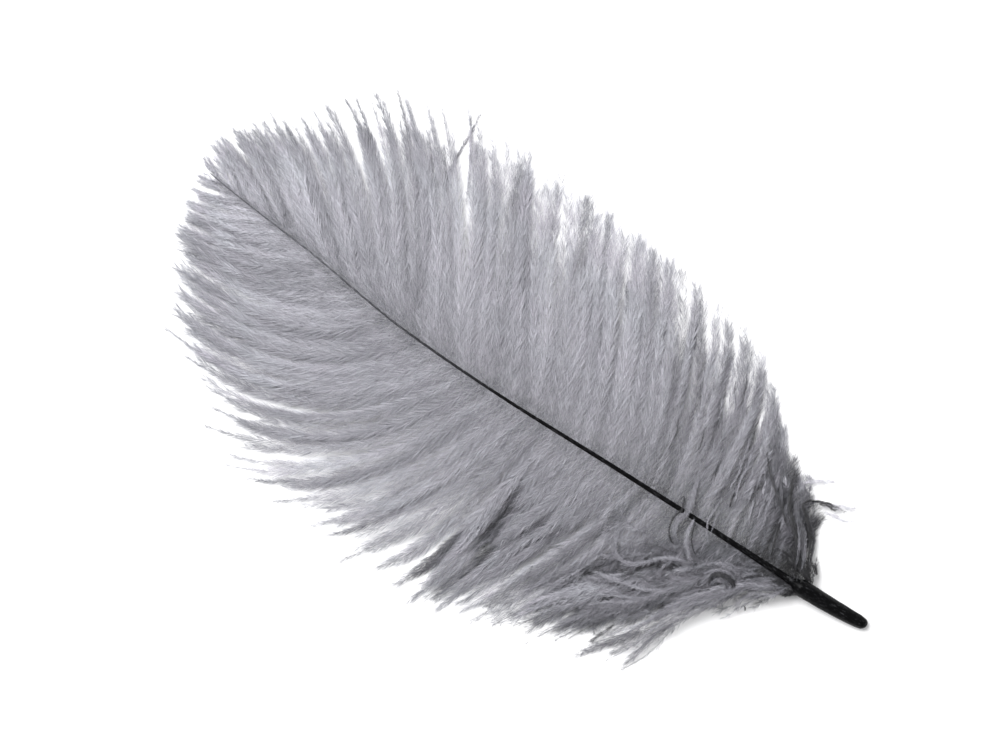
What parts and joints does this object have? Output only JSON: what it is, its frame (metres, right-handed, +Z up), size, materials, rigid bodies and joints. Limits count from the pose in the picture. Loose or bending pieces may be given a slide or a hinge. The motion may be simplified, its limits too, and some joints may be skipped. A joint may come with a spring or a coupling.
{
  "type": "ostrich feather",
  "caption": "Dyed grey ostrich body plume with a bare black quill, a loose web of barbs on each side of an arched shaft and a tuft of down at its base, lying on its underside.",
  "frame": {"origin": "middle of the feather's bounding box, on the surface it lies on", "axes": "+X along the shaft from the quill towards the tip, +Y towards the left web, +Z up out of the upper face"},
  "size_m": [0.1598, 0.087, 0.0107],
  "materials": {
    "shaft_keratin": "black dyed keratin, half gloss, with faint dull scuffs",
    "vane_barbs": "dyed grey barbs, soft and matt, with lighter barb shafts",
    "base_down": "darker dyed down, matt, with lighter curled strands"
  },
  "bodies": {
    "root": {"shaft": "shaft_keratin", "left_vane": "vane_barbs", "right_vane": "vane_barbs", "left_down": "base_down", "right_down": "base_down"}
  },
  "joints": []
}
